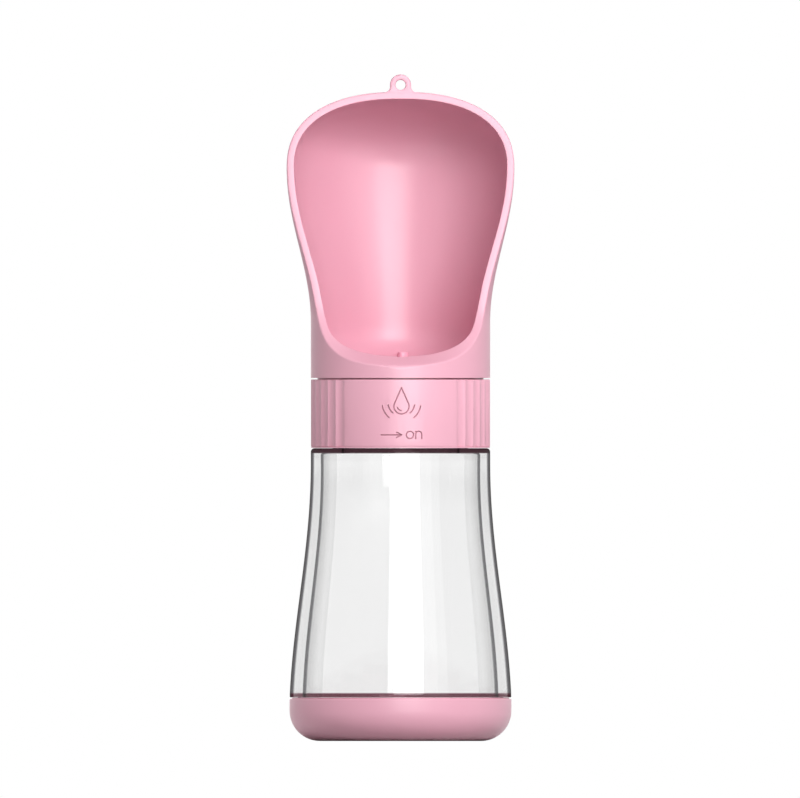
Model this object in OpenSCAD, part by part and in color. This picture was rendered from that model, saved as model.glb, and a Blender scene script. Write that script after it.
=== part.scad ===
// Travel water bottle for dogs: a clear faceted bottle with a screw-on foot cup, and a drinking
// scoop on a screw cap. The fluted ring between them turns a rotary valve.
// Millimetres. Z is up, the scoop opens towards -Y, and the origin is the centre of the foot.

/* [Foot cup] */
// Outside radius of the foot cup and of the bottle's foot
base_r = 36.6; // [35.6:0.1:38]
// Height of the foot cup
base_h = 13.9; // [13:0.1:18]
// Radius of the foot cup's lower corner
base_corner_r = 10; // [8:0.5:10.5]
// Wall of the foot cup
base_wall = 1.65; // [1.5:0.05:2]
// Floor of the foot cup
base_floor = 2.4; // [1.6:0.1:3.2]
// Height of the ledge that carries the foot seal
base_ledge_z = 6.2; // [5.8:0.1:6.6]
// Width of that ledge
base_ledge_w = 3.6; // [3:0.1:5]

/* [Clear bottle] */
// Height of the clear bottle from the foot cup's seam to its shoulder
body_h = 82.2; // [70:0.1:110]
// Outside radius of everything above the waist: shoulder, ring and scoop collar
shell_r = 29.6; // [29:0.1:31]
// Distance from the shoulder down to the waist, where the bottle starts to widen
waist_drop = 4.6; // [3:0.1:8]
// Half a wave of the flank's curve, from the waist downwards
flank_wave = 87; // [80:1:120]
// Radius of the shoulder's edge
shoulder_r = 1.2; // [0.8:0.1:1.8]
// Thickness of the shoulder
shoulder_t = 1.6; // [1.4:0.1:3.4]
// Wall at the shoulder, measured to the facets' corners
wall_top = 3.05; // [2.4:0.05:3.6]
// Flat facets inside the bottle
facet_count = 24; // [16:2:32]
// Wall of the threaded spigot at the foot
spigot_wall = 1.3; // [1:0.05:1.6]
// Wall of the neck
neck_wall = 2.6; // [2:0.1:3]
// Height of the neck above the shoulder
neck_h = 13.9; // [13:0.1:16]

/* [Screw threads] */
// Starts of each thread
thread_starts = 2; // [1:1:3]
// Distance from ridge to ridge on the foot thread
foot_pitch = 3; // [2.8:0.1:3.4]
// Height of the foot thread's ridge
foot_ridge = 0.7; // [0.6:0.05:0.8]
// Distance from ridge to ridge on the neck thread
neck_pitch = 4; // [3.8:0.1:4.4]
// Height of the neck thread's ridge
neck_ridge = 1.1; // [0.9:0.05:1.1]
// Radial clearance between a crest and the root it runs over
thread_gap = 0.35; // [0.3:0.05:0.4]

/* [Screw cap and valve] */
// Wall of the cap's skirt, from its bore to the ring's bore
skirt_wall = 3.85; // [3.4:0.05:4.4]
// Thickness of the cap's deck
deck_t = 2.2; // [1.8:0.1:3]
// Height of the cap's flange, which carries the ring
flange_h = 1.5; // [1.2:0.1:2]
// How far the flange reaches out under the ring
flange_w = 1; // [0.8:0.05:1.1]
// Thickness of the valve disc
disc_t = 2; // [1.8:0.1:3]
// Radius from the axis to the water ports
port_ring_r = 13.5; // [11:0.1:15]
// Radius of the water ports
port_r = 3; // [2:0.1:3.4]
// Turn of the ring from closed to open
valve_turn = 90; // [60:5:100]
// Radius of the pivot post
post_r = 4; // [3.5:0.1:5]
// Radius of the keyed tenon at the post's end
tenon_r = 3.2; // [2.8:0.1:3.4]
// Radius of the pivot screw's shank
screw_r = 1.5; // [1.2:0.1:1.8]
// Radius of the pivot screw's head
screw_head_r = 3.4; // [3:0.1:4]

/* [Seals] */
// Thickness of the foot seal and the neck seal
seal_t = 1.5; // [1.2:0.1:2]
// Thickness of the two valve seals
valve_seal_t = 0.8; // [0.6:0.1:1.2]
// Radius of the pivot ring's cord
oring_cord_r = 0.55; // [0.4:0.05:0.6]

/* [Control ring] */
// Wall of the ring
ring_wall = 1.9; // [1.8:0.1:2.2]
// Half the angle of each smooth panel, front and back
panel_half_a = 38.5; // [35:0.5:45]
// Flutes on each side
flute_count = 13; // [9:1:15]
// Depth of a flute
flute_depth = 0.5; // [0.3:0.05:0.6]
// Flat left between two flutes
flute_land = 0.24; // [0.2:0.02:0.5]
// Depth of the engraved marks
mark_depth = 0.45; // [0.2:0.05:0.6]
// Width of the engraved strokes
stroke_w = 0.45; // [0.3:0.05:0.6]

/* [Scoop] */
// Half width of the scoop where it is widest
bowl_half_w = 37.6; // [35:0.1:40]
// Depth of the scoop behind the axis
bowl_back = 33; // [31:0.1:36]
// Height of the widest level above the collar's lower edge
bowl_wide_h = 69.2; // [62:0.1:80]
// Height over which the flank flares out below the widest level
flare_h = 51; // [40:1:56]
// Height of the domed top above the widest level
dome_h = 25.3; // [22:0.1:30]
// Squareness of the domed top's outline, where 2 is an ellipse
dome_power = 2.35; // [2:0.05:3]
// Wall of the scoop
bowl_wall = 2.4; // [2:0.1:2.8]
// Height of the lip's front above the collar's lower edge
lip_h = 4; // [3.6:0.1:6]
// Height of the scoop's floor above the collar's lower edge
floor_h = 6.2; // [6:0.1:7]
// Thickness of the floor
floor_t = 2.4; // [2:0.1:2.8]
// Depth of the floor's fillet
fillet_w = 8; // [6:0.5:10]
// Height of the floor's fillet
fillet_h = 11; // [8:0.5:14]
// Radius of the rim's side curve above the lip
rim_arc_r = 29.5; // [28:0.5:31]
// Slope of the rim where it leaves the lip
rim_start_a = 17; // [12:1:20]
// Lean of the upper rim towards the back
rim_lean = 9.4; // [6:0.1:12]
// Wall of the spigot that holds the valve's upper seal
spigot_ring_wall = 1.8; // [1.4:0.1:2.2]
// Length of that spigot below the collar
spigot_len = 1.8; // [1.5:0.1:3]
// Sideways place of the outlet
outlet_x = 0.8; // [-2:0.1:2]
// Distance of the outlet behind the axis
outlet_y = 22.4; // [20:0.1:23]
// Radius of the outlet's bore
outlet_r = 0.9; // [0.6:0.05:1.1]
// Wall of the outlet's nozzle
outlet_wall = 0.8; // [0.6:0.05:1]
// Height of the nozzle above the floor
outlet_h = 2.4; // [1.6:0.1:3]

/* [Hanging loop] */
// Radius of the hole
loop_hole_r = 1.65; // [1.2:0.05:2]
// Wall around the hole
loop_wall = 1.85; // [1.4:0.05:2.4]
// Height of the hole's centre above the scoop's top
loop_rise = 2.2; // [1.8:0.1:3]
// Thickness of the loop from front to back
loop_t = 2.4; // [2:0.1:3]
// Radius of the fillet at the loop's foot
loop_fillet_r = 2; // [1.4:0.1:3]

/* [Clearances] */
// Height of the shadow gap between neighbouring shells
seam = 0.5; // [0.4:0.05:0.8]
// Gap between flat faces that turn on each other
face_gap = 0.05; // [0.04:0.01:0.1]
// Radial gap between shells that turn in each other
run_gap = 0.3; // [0.3:0.05:0.4]
// Radial gap between the pivot post and what turns on it
pivot_gap = 0.1; // [0.08:0.01:0.12]
// Gap round parts that are fixed to each other
fit_gap = 0.1; // [0.05:0.01:0.15]

/* [Hidden] */
$fn = 96;
eps = 0.01;
cut = 1;                                   // how far a cutter runs past the face it cuts
PINK = [0.96, 0.67, 0.76];
CLEAR = [0.90, 0.93, 0.94, 0.35];
SILICONE = [0.88, 0.86, 0.86];
HOUSING = [0.93, 0.90, 0.91];
STEEL = [0.75, 0.76, 0.78];

// Foot: cup, thread and seal
base_bore_r = base_r - base_wall;
foot_r = base_bore_r - foot_ridge - thread_gap;
foot_bore_r = foot_r - spigot_wall;
foot_end_z = base_ledge_z + seal_t + 2 * face_gap;
body_z = base_h + seam;
ledge_inner_r = foot_bore_r - base_ledge_w + spigot_wall;
foot_thread_z = [foot_end_z + 0.9, base_h - 0.7];

// Bottle, and the shells that its neck carries
shoulder_z = body_z + body_h;
waist_z = shoulder_z - waist_drop;
flank_gain = (base_r - shell_r) / ((1 - cos(180 * (waist_z - body_z) / flank_wave)) / 2);
wall_foot = base_r - foot_bore_r;
ceiling_z = shoulder_z - shoulder_t;
neck_top_z = shoulder_z + neck_h;
ring_bore_r = shell_r - ring_wall;
skirt_r = ring_bore_r - run_gap - fit_gap;
cap_bore_r = skirt_r - skirt_wall;
neck_r = cap_bore_r - neck_ridge - thread_gap;
neck_bore_r = neck_r - neck_wall;
neck_thread_z = [shoulder_z + 2.8, neck_top_z - 2.1];
flank_steps = 22;
inside_steps = 13;

// Cap and valve stack, from the neck upwards
ring_z = shoulder_z + seam;
cap_z = ring_z + 0.1;
deck_z = neck_top_z + seal_t + 2 * face_gap;
cap_top_z = deck_z + deck_t;
disc_z = cap_top_z + valve_seal_t + face_gap;
disc_top_z = disc_z + disc_t;
seal_z = disc_top_z + face_gap;
spigot_z = seal_z + valve_seal_t;
collar_z = spigot_z + spigot_len;
ring_top_z = collar_z - seam;
flange_r = skirt_r + flange_w;
flange_top_z = cap_z + flange_h;
spigot_r = ring_bore_r - run_gap;
spigot_bore_r = spigot_r - spigot_ring_wall;
disc_r = ring_bore_r - 2 * fit_gap;
key_depth = 1.2;                           // how far the ring's drive ribs reach into the disc
key_half_a = 4;
key_angles = [45, 135, 225, 315];
lug_drop = 3;                              // length of the stop lug below the cap's top
lug_half_a = 8;
lug_depth = 1.8;
stop_play_a = 0.6;
port_a = 90;                               // the ports line up at the back when the ring is open
counterbore_h = 2 * oring_cord_r + 2 * fit_gap;
oring_mid_r = post_r + face_gap + oring_cord_r;
washer_t = 0.8;
washer_r = 6;
screw_head_h = 1.7;
screw_engage = 6.5;                        // how far the screw reaches into the post
tenon_flat = 0.8;                          // half width of the tenon as a share of its radius

// Scoop
lip_z = collar_z + lip_h;
floor_z = collar_z + floor_h;
wide_z = collar_z + bowl_wide_h;
apex_z = wide_z + dome_h;
lip_y = -shell_r;
rim_end_a = 90 - rim_lean;
rim_end_z = lip_z + rim_arc_r * (cos(rim_start_a) - cos(rim_end_a));
rim_end_y = lip_y + rim_arc_r * (sin(rim_end_a) - sin(rim_start_a));
loop_z = apex_z + loop_rise;
loop_r = loop_hole_r + loop_wall;

// Grid of the scoop's surfaces: rays run from the rim to the back, one per level or dome angle
lip_rays = 12;
lip_step_a = 6;
flank_rays = 7;
dome_steps = 20;
ray_steps = 14;
side_rays = 2 + lip_rays + flank_rays;
ray_total = 2 * side_rays + dome_steps - 1;

// ---- helpers ---------------------------------------------------------------------------------

function mix(a, b, t) = a + (b - a) * t;

function arc(cx, cy, r, a0, a1, n) = [
    for (i = [0 : n]) [cx + r * cos(mix(a0, a1, i / n)), cy + r * sin(mix(a0, a1, i / n))]
];

module tube(z0, z1, r0, r1) {
    difference() {
        translate([0, 0, z0])
            cylinder(r = r1, h = z1 - z0);
        translate([0, 0, z0 - cut])
            cylinder(r = r0, h = z1 - z0 + 2 * cut);
    }
}

module sector(z0, z1, r0, r1, a0, a1) {
    translate([0, 0, z0])
        rotate(a0)
            rotate_extrude(angle = a1 - a0)
                translate([r0, 0])
                    square([r1 - r0, z1 - z0]);
}

// One ridge of a screw thread. It is as high as side * ridge away from the root, so side is 1
// on an outside thread and -1 in a nut, and it runs in and out over its first and last steps.
module thread_ridge(root_r, side, ridge, pitch, z0, z1, a0) {
    step_a = 12;
    sunk = 0.4;
    base_w = 0.47 * pitch;
    crest_w = 0.2 * pitch;
    lead = pitch * thread_starts;
    steps = floor((z1 - z0 - base_w) / lead * 360 / step_a);
    z_mid = z0 + base_w / 2;
    points = [
        for (i = [0 : steps])
            let (
                a = a0 + i * step_a,
                z = z_mid + lead * i * step_a / 360,
                grown = min(1, i / 2, (steps - i) / 2),
                crest_r = root_r + side * (ridge * grown - 0.1 * (1 - grown)),
                sunk_r = root_r - side * sunk
            )
            each [
                [sunk_r * cos(a), sunk_r * sin(a), z - base_w / 2],
                [crest_r * cos(a), crest_r * sin(a), z - crest_w / 2],
                [crest_r * cos(a), crest_r * sin(a), z + crest_w / 2],
                [sunk_r * cos(a), sunk_r * sin(a), z + base_w / 2]
            ]
    ];
    function turned(f) = side > 0 ? [f[2], f[1], f[0]] : f;
    faces = [
        for (i = [0 : steps - 1], k = [0 : 3])
            let (a = 4 * i + k, b = 4 * i + (k + 1) % 4)
            each [turned([a, a + 4, b + 4]), turned([a, b + 4, b])],
        turned([0, 1, 2]),
        turned([0, 2, 3]),
        turned([4 * steps + 2, 4 * steps + 1, 4 * steps]),
        turned([4 * steps + 3, 4 * steps + 2, 4 * steps])
    ];
    polyhedron(points, faces);
}

// All starts of one thread. A nut's ridges sit half a pitch above those of its screw.
module thread(root_r, side, ridge, pitch, span) {
    for (start = [0 : thread_starts - 1])
        thread_ridge(root_r, side, ridge, pitch, span[0] + (side > 0 ? 0 : pitch / 2), span[1],
            360 * start / thread_starts);
}

// ---- foot ------------------------------------------------------------------------------------

module base_cap() color(PINK) {
    ledge_outer_r = base_bore_r - 0.9;
    chamfer_h = 1.4;
    difference() {
        rotate_extrude() {
            square([base_r - base_corner_r, base_h]);
            translate([0, base_corner_r])
                square([base_r, base_h - base_corner_r]);
            intersection() {
                translate([base_r - base_corner_r, base_corner_r])
                    circle(base_corner_r);
                square([base_r, base_h]);
            }
        }
        rotate_extrude()
            polygon([
                [0, base_floor], [ledge_inner_r - 1, base_floor], [ledge_inner_r, base_floor + 1],
                [ledge_inner_r, base_ledge_z], [ledge_outer_r, base_ledge_z],
                [base_bore_r, base_ledge_z + chamfer_h], [base_bore_r, base_h + cut], [0, base_h + cut]
            ]);
    }
    thread(base_bore_r, -1, foot_ridge, foot_pitch, foot_thread_z);
}

module base_gasket() color(SILICONE)
    tube(base_ledge_z + face_gap, base_ledge_z + face_gap + seal_t, ledge_inner_r + 0.4, foot_r - 0.2);

// ---- clear bottle ----------------------------------------------------------------------------

function flank_r(z) =
    z > waist_z ? shell_r : shell_r + flank_gain * (1 - cos(180 * (waist_z - z) / flank_wave)) / 2;

function inside_r(z) =
    z < body_z ? foot_bore_r
    : flank_r(z) - mix(wall_foot, wall_top, (z - body_z) / (ceiling_z - body_z));

module bottle_inside() {
    corner = 2;
    last_z = ceiling_z - corner;
    rows = concat(
        [[foot_end_z - cut, foot_bore_r], [body_z, foot_bore_r]],
        [for (i = [1 : inside_steps]) let (z = mix(body_z, last_z, i / inside_steps)) [z, inside_r(z)]],
        [[ceiling_z - 0.3 * corner, inside_r(last_z) - 0.3 * corner],
            [ceiling_z, inside_r(last_z) - corner]]
    );
    top = len(rows) - 1;
    n = facet_count;
    polyhedron(
        points = [
            for (row = rows, k = [0 : n - 1])
                let (a = (k + 0.5) * 360 / n)
                [row[1] * cos(a), row[1] * sin(a), row[0]]
        ],
        faces = [
            [for (k = [0 : n - 1]) k],
            [for (k = [n - 1 : -1 : 0]) top * n + k],
            for (i = [0 : top - 1], k = [0 : n - 1])
                let (a = i * n + k, b = i * n + (k + 1) % n)
                each [[a, b + n, b], [a, a + n, b + n]]
        ]
    );
}

module bottle_body() color(CLEAR) {
    edge = 0.3;
    difference() {
        rotate_extrude()
            polygon(concat(
                [[0, foot_end_z], [foot_r - edge, foot_end_z], [foot_r, foot_end_z + edge],
                    [foot_r, body_z], [base_r - edge, body_z], [base_r, body_z + edge]],
                [
                    for (i = [1 : flank_steps])
                        let (z = mix(body_z, waist_z, i / flank_steps))
                        [flank_r(z), z]
                ],
                arc(shell_r - shoulder_r, shoulder_z - shoulder_r, shoulder_r, 0, 90, 6),
                [[neck_r, shoulder_z], [neck_r, neck_top_z - edge], [neck_r - edge, neck_top_z],
                    [0, neck_top_z]]
            ));
        bottle_inside();
        translate([0, 0, ceiling_z - cut])
            cylinder(r = neck_bore_r, h = neck_h + shoulder_t + 2 * cut);
    }
    thread(foot_r, 1, foot_ridge, foot_pitch, foot_thread_z);
    thread(neck_r, 1, neck_ridge, neck_pitch, neck_thread_z);
}

// ---- screw cap and valve ---------------------------------------------------------------------

module neck_gasket() color(SILICONE)
    tube(neck_top_z + face_gap, neck_top_z + face_gap + seal_t, neck_bore_r, cap_bore_r - run_gap);

// Keyed outline of the tenon: a round with two flats
module tenon_outline(gap) {
    intersection() {
        circle(tenon_r + gap);
        square([2 * (tenon_r * tenon_flat + gap), 4 * tenon_r], center = true);
    }
}

module screw_cap() color(HOUSING) {
    stop_a0 = key_angles[0] - lug_half_a - stop_play_a;
    stop_a1 = key_angles[0] + valve_turn + lug_half_a + stop_play_a;
    difference() {
        union() {
            translate([0, 0, cap_z])
                cylinder(r = skirt_r, h = cap_top_z - cap_z);
            translate([0, 0, cap_z])
                cylinder(r = flange_r, h = flange_h);
        }
        translate([0, 0, cap_z - cut])
            cylinder(r = cap_bore_r, h = deck_z - cap_z + cut);
        translate([0, 0, deck_z - cut])
            linear_extrude(deck_t + 2 * cut)
                tenon_outline(fit_gap);
        rotate(port_a)
            translate([port_ring_r, 0, deck_z - cut])
                cylinder(r = port_r, h = deck_t + 2 * cut);
        sector(cap_top_z - lug_drop - run_gap, cap_top_z + cut, ring_bore_r - lug_depth - run_gap,
            skirt_r + cut, stop_a0, stop_a1);
    }
    thread(cap_bore_r, -1, neck_ridge, neck_pitch, neck_thread_z);
}

module deck_gasket() color(SILICONE) {
    gasket_r = cap_bore_r - 0.5;
    difference() {
        tube(cap_top_z, cap_top_z + valve_seal_t, post_r + run_gap, gasket_r);
        rotate(port_a)
            translate([port_ring_r, 0, cap_top_z - cut])
                cylinder(r = port_r, h = valve_seal_t + 2 * cut);
    }
}

module valve_disc() color(HOUSING) {
    difference() {
        translate([0, 0, disc_z])
            cylinder(r = disc_r, h = disc_t);
        translate([0, 0, disc_z - cut])
            cylinder(r = post_r + pivot_gap, h = disc_t + 2 * cut);
        translate([0, 0, disc_top_z - counterbore_h])
            cylinder(r = oring_mid_r + oring_cord_r + run_gap, h = counterbore_h + cut);
        rotate(port_a - valve_turn)
            translate([port_ring_r, 0, disc_z - cut])
                cylinder(r = port_r, h = disc_t + 2 * cut);
        for (a = key_angles)
            sector(disc_z - cut, disc_top_z + cut, ring_bore_r - key_depth - fit_gap, disc_r + cut,
                a - key_half_a - 0.3, a + key_half_a + 0.3);
    }
}

module valve_gasket() color(SILICONE)
    tube(seal_z, seal_z + valve_seal_t, spigot_bore_r, spigot_r - fit_gap);

module pivot_oring() color(SILICONE)
    translate([0, 0, disc_top_z - counterbore_h + fit_gap + oring_cord_r])
        rotate_extrude()
            translate([oring_mid_r, 0])
                circle(oring_cord_r);

module pivot_washer() color(STEEL)
    tube(deck_z - washer_t, deck_z, screw_r + fit_gap, washer_r);

module pivot_screw() color(STEEL) {
    head_top_z = deck_z - washer_t;
    head_z = head_top_z - screw_head_h;
    recess_w = 0.9;
    recess_h = 1;
    difference() {
        union() {
            translate([0, 0, head_z])
                cylinder(r = screw_head_r, h = screw_head_h);
            translate([0, 0, head_top_z - eps])
                cylinder(r = screw_r, h = washer_t + deck_t + screw_engage);
        }
        for (a = [0, 90])
            rotate(a)
                translate([-screw_head_r * 0.62, -recess_w / 2, head_z - cut])
                    cube([screw_head_r * 1.24, recess_w, recess_h + cut]);
    }
}

// ---- control ring ----------------------------------------------------------------------------

module stroke(p, q) {
    d = q - p;
    for (end = [p, q])
        translate(end)
            circle(stroke_w / 2, $fn = 24);
    translate(p)
        rotate(atan2(d[1], d[0]))
            translate([0, -stroke_w / 2])
                square([norm(d), stroke_w]);
}

module stroke_arc(c, r, a0, a1) {
    for (a = [a0, a1])
        translate(c + r * [cos(a), sin(a)])
            circle(stroke_w / 2, $fn = 24);
    translate(c)
        intersection() {
            difference() {
                circle(r + stroke_w / 2);
                circle(r - stroke_w / 2);
            }
            polygon([
                [0, 0],
                for (i = [0 : 8]) 2 * r * [cos(mix(a0, a1, i / 8)), sin(mix(a0, a1, i / 8))]
            ]);
        }
}

// A drop with its shine and two ripples, as a plain sign for water
module water_sign() {
    drop_r = 2.5;
    tip = [0, 6.2];
    tangent_a = acos(drop_r / norm(tip));
    stroke_arc([0, 0], drop_r, 90 + tangent_a, 450 - tangent_a);
    for (side = [-1, 1])
        stroke(tip, drop_r * [side * sin(tangent_a), cos(tangent_a)]);
    stroke_arc([0, 0], 0.55 * drop_r, 195, 265);
    for (side = [-1, 1], r = [4.4, 6.4])
        stroke_arc([0, 1.2], r, side > 0 ? -50 : 190, side > 0 ? -10 : 230);
}

// Arrow and the word on, drawn with plain strokes
module on_mark() {
    tip = [3.4, 0];
    barb = 1.9;
    x_height = 2.4;
    stroke([-3.4, 0], tip);
    for (side = [-1, 1])
        stroke(tip, tip + barb * [-cos(28), side * sin(28)]);
    translate([6.1, 0])
        difference() {
            circle(x_height / 2 + stroke_w / 2, $fn = 48);
            circle(x_height / 2 - stroke_w / 2, $fn = 48);
        }
    translate([9, 0]) {
        stroke([-1, -x_height / 2], [-1, x_height / 2]);
        stroke([1, -x_height / 2], [1, x_height / 2 - 1]);
        stroke_arc([0, x_height / 2 - 1], 1, 0, 180);
    }
}

module front_marks() {
    sign_z = ring_z + 0.6 * (ring_top_z - ring_z);
    on_z = ring_z + 3.9;
    intersection() {
        rotate([90, 0, 0])
            linear_extrude(shell_r + cut) {
                translate([0.3, sign_z])
                    water_sign();
                translate([-3, on_z])
                    on_mark();
            }
        tube(ring_z, ring_top_z, shell_r - mark_depth, shell_r + cut);
    }
}

module flutes() {
    pitch_a = (180 - 2 * panel_half_a) / flute_count;
    half_w = shell_r * sin(pitch_a / 2) - flute_land / 2;
    depth = flute_depth - shell_r * (1 - cos(pitch_a / 2));
    flute_r = (half_w * half_w + depth * depth) / (2 * depth);
    for (side = [0, 180], k = [0 : flute_count - 1])
        rotate(side - 90 + panel_half_a + (k + 0.5) * pitch_a)
            translate([shell_r - flute_depth + flute_r, 0, ring_z - cut])
                cylinder(r = flute_r, h = ring_top_z - ring_z + 2 * cut);
}

module control_ring() color(PINK) {
    edge = 0.2;
    rebate_r = flange_r + run_gap;
    rebate_z = flange_top_z + face_gap;
    difference() {
        rotate_extrude()
            polygon([
                [rebate_r, ring_z], [shell_r - edge, ring_z], [shell_r, ring_z + edge],
                [shell_r, ring_top_z - edge], [shell_r - edge, ring_top_z], [ring_bore_r, ring_top_z],
                [ring_bore_r, rebate_z], [rebate_r, rebate_z]
            ]);
        flutes();
        front_marks();
    }
    for (a = key_angles)
        sector(cap_top_z + run_gap, seal_z - 2 * face_gap, ring_bore_r - key_depth,
            ring_bore_r + ring_wall / 3, a - key_half_a, a + key_half_a);
    sector(cap_top_z - lug_drop, cap_top_z + run_gap + 0.5, ring_bore_r - lug_depth,
        ring_bore_r + ring_wall / 3, key_angles[0] - lug_half_a, key_angles[0] + lug_half_a);
}

// ---- scoop -----------------------------------------------------------------------------------

// Side view of the rim: an arc from the lip, then a straight line that leans back
function rim_y(z) =
    z > rim_end_z ? rim_end_y + (z - rim_end_z) * tan(rim_lean)
    : let (a = acos(min(1, cos(rim_start_a) - (z - lip_z) / rim_arc_r)))
        lip_y + rim_arc_r * (sin(a) - sin(rim_start_a));

// How far the inside draws in from the outside: the wall, and the fillet above the floor
function inset(z, inner) =
    !inner ? 0
    : z >= floor_z + fillet_h ? bowl_wall
    : bowl_wall + fillet_w * (1 - sqrt(max(0, 1 - pow((floor_z + fillet_h - z) / fillet_h, 2))));

function flare(z) = z < wide_z - flare_h ? 0 : (1 + cos(180 * (wide_z - z) / flare_h)) / 2;
function bowl_w(z, inner) = mix(shell_r, bowl_half_w, flare(z)) - inset(z, inner);
function bowl_d(z, inner) = mix(shell_r, bowl_back, flare(z)) - inset(z, inner);

// Level at which the rim crosses the surface at an angle a round from the front
function rim_level(a, inner, low, high, n = 36) =
    n == 0 ? (low + high) / 2
    : let (mid = (low + high) / 2)
        rim_y(mid) + bowl_d(mid, inner) * cos(a) > 0 ? rim_level(a, inner, low, mid, n - 1)
        : rim_level(a, inner, mid, high, n - 1);

function crossing_z(a, inner) = rim_level(a, inner, inner ? floor_z : lip_z, wide_z);

// Levels of the rays on one side, from the closed lowest one to the widest level
function levels(inner) =
    let (bend_z = crossing_z(lip_rays * lip_step_a, inner))
    concat(
        [inner ? floor_z : collar_z, inner ? crossing_z(0, inner) : lip_z],
        [for (i = [1 : lip_rays]) crossing_z(i * lip_step_a, inner)],
        [for (i = [1 : flank_rays]) mix(bend_z, wide_z, i / flank_rays)]
    );

function side_ray(z, closed, side, inner) =
    let (
        w = bowl_w(z, inner),
        d = bowl_d(z, inner),
        start = closed ? -90 : asin(max(-1, rim_y(z) / d))
    )
    [
        for (j = [0 : ray_steps])
            let (a = mix(start, 90, j / ray_steps))
            [side * w * cos(a), d * sin(a), z]
    ];

// Outline of the domed top as a radius from the middle of the widest level
function dome_r(a, inner) =
    let (
        w = bowl_w(wide_z, inner),
        h = inner ? dome_h - bowl_wall : dome_h
    )
    pow(pow(abs(cos(a)) / w, dome_power) + pow(abs(sin(a)) / h, dome_power), -1 / dome_power);

function dome_ray(a, inner) =
    let (
        r = dome_r(a, inner),
        d = bowl_d(wide_z, inner),
        start = asin(rim_y(wide_z + r * sin(a)) / d)
    )
    [
        for (j = [0 : ray_steps])
            let (b = mix(start, 90, j / ray_steps))
            [r * cos(b) * cos(a), d * sin(b), wide_z + r * cos(b) * sin(a)]
    ];

function surface_points(inner) =
    let (z = levels(inner), last = side_rays - 1)
    [
        for (i = [0 : last]) each side_ray(z[i], i < 2, 1, inner),
        for (i = [1 : dome_steps - 1]) each dome_ray(180 * i / dome_steps, inner),
        for (i = [last : -1 : 0]) each side_ray(z[i], i < 2, -1, inner)
    ];

module bowl_shell() {
    row = ray_steps + 1;
    inner_0 = ray_total * row;
    underside = 2 * inner_0;
    middle = underside + 1;
    last = ray_total - 1;
    points = concat(surface_points(false), surface_points(true), [[0, 0, collar_z], [0, 0, floor_z]]);
    function on_dome(i) = i >= side_rays - 1 && i < side_rays - 1 + dome_steps;
    faces = [
        for (i = [0 : last - 1], j = [0 : ray_steps - 1])
            let (a = i * row + j, b = a + row)
            each concat(
                [[a, b, a + 1], [inner_0 + a, inner_0 + a + 1, inner_0 + b]],
                on_dome(i) && j == ray_steps - 1 ? []
                : [[b, b + 1, a + 1], [inner_0 + b, inner_0 + a + 1, inner_0 + b + 1]]
            ),
        for (i = [1 : last - 2])
            let (a = i * row, b = a + row)
            each [[a, inner_0 + a, b], [b, inner_0 + a, inner_0 + b]],
        for (j = [0 : ray_steps - 1])
            let (a = j, b = last * row + j)
            each [
                [underside, a, a + 1], [underside, b + 1, b],
                [middle, inner_0 + a + 1, inner_0 + a], [middle, inner_0 + b, inner_0 + b + 1]
            ]
    ];
    polyhedron(points, faces);
}

module loop_plate() {
    foot_z = apex_z - bowl_wall + 0.4;
    fillet_z = apex_z + loop_fillet_r - 0.3;
    fillet_x = sqrt(pow(loop_r + loop_fillet_r, 2) - pow(fillet_z - loop_z, 2));
    translate([0, rim_y(apex_z) + loop_t, 0])
        rotate([90, 0, 0])
            linear_extrude(loop_t) {
                translate([0, loop_z])
                    circle(loop_r);
                difference() {
                    translate([-fillet_x, foot_z])
                        square([2 * fillet_x, fillet_z - foot_z]);
                    for (side = [-1, 1])
                        translate([side * fillet_x, fillet_z])
                            circle(loop_fillet_r);
                }
            }
}

module scoop() color(PINK) {
    hollow_top_z = floor_z - floor_t;
    difference() {
        union() {
            difference() {
                bowl_shell();
                translate([0, 0, collar_z - cut])
                    cylinder(r = spigot_bore_r, h = hollow_top_z - collar_z + cut);
            }
            tube(spigot_z, collar_z + 1, spigot_bore_r, spigot_r);
            translate([0, 0, cap_top_z])
                cylinder(r = post_r, h = hollow_top_z - cap_top_z + 1);
            translate([0, 0, deck_z + 2 * fit_gap])
                linear_extrude(deck_t)
                    tenon_outline(0);
            translate([outlet_x, outlet_y, hollow_top_z + 1])
                cylinder(r = outlet_r + outlet_wall, h = floor_z + outlet_h - hollow_top_z - 1);
            loop_plate();
        }
        translate([0, 0, deck_z - cut])
            cylinder(r = screw_r + face_gap, h = deck_t + screw_engage + 2 * cut);
        translate([outlet_x, outlet_y, spigot_z])
            cylinder(r = outlet_r, h = apex_z - spigot_z - 3 * bowl_wall - dome_h);
        translate([0, rim_y(apex_z) - cut, loop_z])
            rotate([-90, 0, 0])
                cylinder(r = loop_hole_r, h = loop_t + 2 * cut);
    }
}

base_cap();
base_gasket();
bottle_body();
neck_gasket();
screw_cap();
deck_gasket();
valve_disc();
control_ring();
valve_gasket();
scoop();
pivot_oring();
pivot_screw();
pivot_washer();
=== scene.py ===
"""Looks of a dog's travel water bottle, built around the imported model.

Blender works in metres. Shapes are worked out in millimetres and scaled when their mesh is made.
Z is up and the scoop opens towards -Y.
"""
import math

import bmesh
import bpy
from mathutils import Matrix, Vector


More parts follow.
